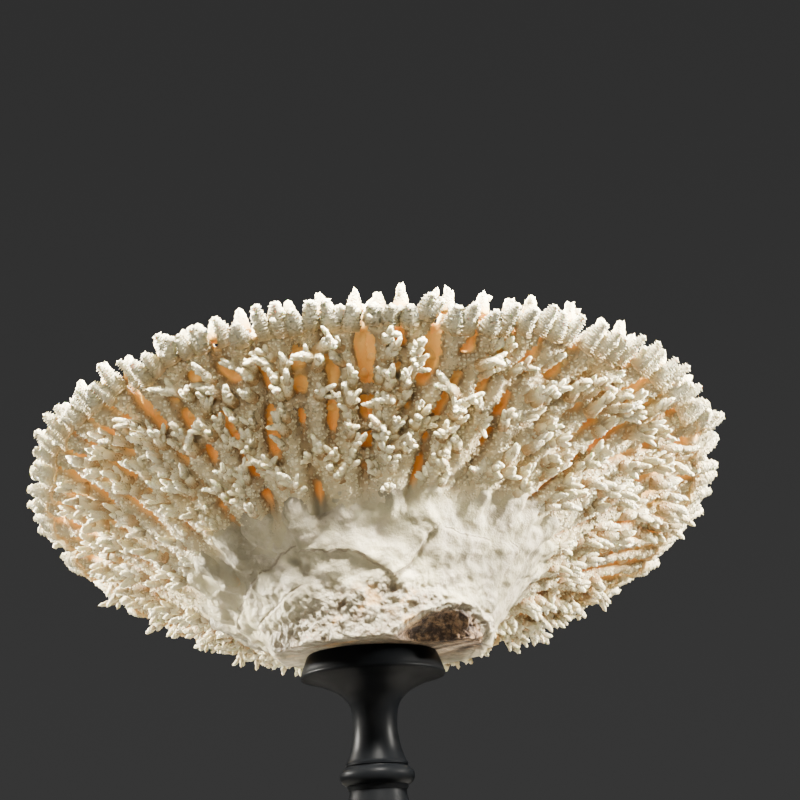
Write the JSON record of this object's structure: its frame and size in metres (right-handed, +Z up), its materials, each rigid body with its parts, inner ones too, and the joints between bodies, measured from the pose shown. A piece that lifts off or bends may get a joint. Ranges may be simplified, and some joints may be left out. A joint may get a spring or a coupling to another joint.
{
  "type": "table coral on pedestal",
  "caption": "Wide, tilted plate of white table coral with pointed fingers round its rim, sawn flat under its trunk and resting on a turned black pedestal.",
  "frame": {"origin": "centre of the pedestal's flat underside", "axes": "+Z up along the pedestal's axis; +Y towards the low side of the coral plate; the high side is at -Y"},
  "size_m": [0.3933, 0.3502, 0.3339],
  "materials": {
    "lacquer": "turned wood, satin black lacquer",
    "coral_skin": "smooth, folded, matt white skin with a broken rock face",
    "coral": "bleached coral, granular and matt, amber deep in its gaps"
  },
  "bodies": {
    "root": {"pedestal": "lacquer", "coral_trunk": "coral_skin", "coral_limb_01": "coral", "coral_limb_02": "coral", "coral_limb_03": "coral", "coral_limb_04": "coral", "coral_limb_05": "coral", "coral_limb_06": "coral", "coral_limb_07": "coral", "coral_limb_08": "coral", "coral_limb_09": "coral", "coral_limb_10": "coral", "coral_limb_11": "coral", "coral_limb_12": "coral"}
  },
  "joints": []
}
